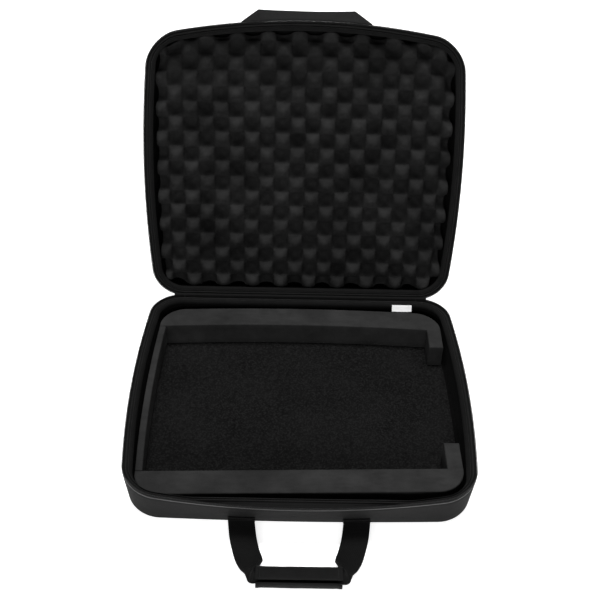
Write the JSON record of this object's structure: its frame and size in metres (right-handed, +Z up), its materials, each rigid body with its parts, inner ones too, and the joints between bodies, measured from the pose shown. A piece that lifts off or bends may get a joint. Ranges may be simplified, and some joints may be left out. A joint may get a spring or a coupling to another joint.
{
  "type": "carry case",
  "caption": "Moulded zip carry case that stands open: fabric-hinged lid lined with egg-crate foam, foam-edged base bay, and a webbing handle on each half.",
  "frame": {"origin": "centre of the base's flat underside, halfway between the hinge wall and the front corners", "axes": "+Z up, -Y towards the handles at the front, +Y towards the hinge, +X along the hinge line"},
  "size_m": [0.4986, 0.6987, 0.48],
  "materials": {
    "shell_laminate": "moulded foam shell faced with a black satin laminate",
    "lining_fleece": "short black brushed lining",
    "floor_fleece": "black fleece with a fine nap",
    "edge_binding": "black woven binding and hinge tape",
    "zip_tape": "black woven zip tape",
    "zip_coil": "black nylon coil",
    "zip_metal": "black enamelled zip metal",
    "spacer_foam": "charcoal closed-cell foam, cut edges",
    "eggcrate_foam": "dark grey open-cell foam with moulded waves",
    "woven_label": "white woven label, left blank",
    "webbing": "black polyester webbing",
    "grip_fabric": "black ballistic weave, lightly padded",
    "hook_and_loop": "black hook-and-loop strip"
  },
  "bodies": {
    "base": {"base_shell": "shell_laminate", "base_lining": "lining_fleece", "base_floor_pad": "floor_fleece", "base_rim_binding": "edge_binding", "base_zip_tape": "zip_tape", "base_zip_coil": "zip_coil", "hinge_gusset_lower": "edge_binding", "zip_stop_left": "zip_metal", "zip_stop_right": "zip_metal", "rear_foam_bar": "spacer_foam", "front_foam_bar": "spacer_foam", "left_foam_bar": "spacer_foam", "woven_label": "woven_label", "base_anchor_left": "webbing", "base_anchor_right": "webbing", "zip_tail_left": "zip_tape", "zip_tail_right": "zip_tape"},
    "lid": {"lid_shell": "shell_laminate", "lid_lining": "lining_fleece", "lid_rim_binding": "edge_binding", "lid_zip_tape": "zip_tape", "lid_zip_coil": "zip_coil", "hinge_gusset_upper": "edge_binding", "lid_eggcrate_foam": "eggcrate_foam", "lid_anchor_left": "webbing", "lid_anchor_right": "webbing"},
    "base_handle": {"base_handle_webbing": "webbing", "grip_wrap": "grip_fabric", "grip_loop_strip": "hook_and_loop", "grip_hook_strip": "hook_and_loop", "grip_end_trim_left": "edge_binding", "grip_end_trim_right": "edge_binding"},
    "lid_handle": {"lid_handle_webbing": "webbing"},
    "slider_left": {"zip_slider_left": "zip_metal"},
    "slider_right": {"zip_slider_right": "zip_metal"},
    "pull_left": {"zip_pull_left": "zip_metal"},
    "pull_right": {"zip_pull_right": "zip_metal"}
  },
  "joints": [
    {"name": "lid_hinge", "type": "hinge", "parent": "base", "child": "lid", "pos_m": [0, 0.20445, 0.061], "axis": [1, 0, 0], "range_deg": [0, 107]},
    {"name": "base_handle_swing", "type": "hinge", "parent": "base", "child": "base_handle", "pos_m": [0, -0.2206, 0.015], "axis": [1, 0, 0], "range_deg": [-70, 0]},
    {"name": "lid_handle_swing", "type": "hinge", "parent": "lid", "child": "lid_handle", "pos_m": [0, 0.35145, 0.46657], "axis": [1, 0, 0], "range_deg": [-50, 0]},
    {"name": "slider_run_left", "type": "slide", "parent": "base", "child": "slider_left", "axis": [0, 0, 1], "range_m": [-0.016, 0]},
    {"name": "pull_swing_left", "type": "hinge", "parent": "slider_left", "child": "pull_left", "pos_m": [-0.178, 0.21485, 0.042], "axis": [1, 0, 0], "range_deg": [0, 80]},
    {"name": "slider_run_right", "type": "slide", "parent": "base", "child": "slider_right", "axis": [0, 0, 1], "range_m": [-0.016, 0]},
    {"name": "pull_swing_right", "type": "hinge", "parent": "slider_right", "child": "pull_right", "pos_m": [0.178, 0.21485, 0.042], "axis": [1, 0, 0], "range_deg": [0, 80]}
  ]
}
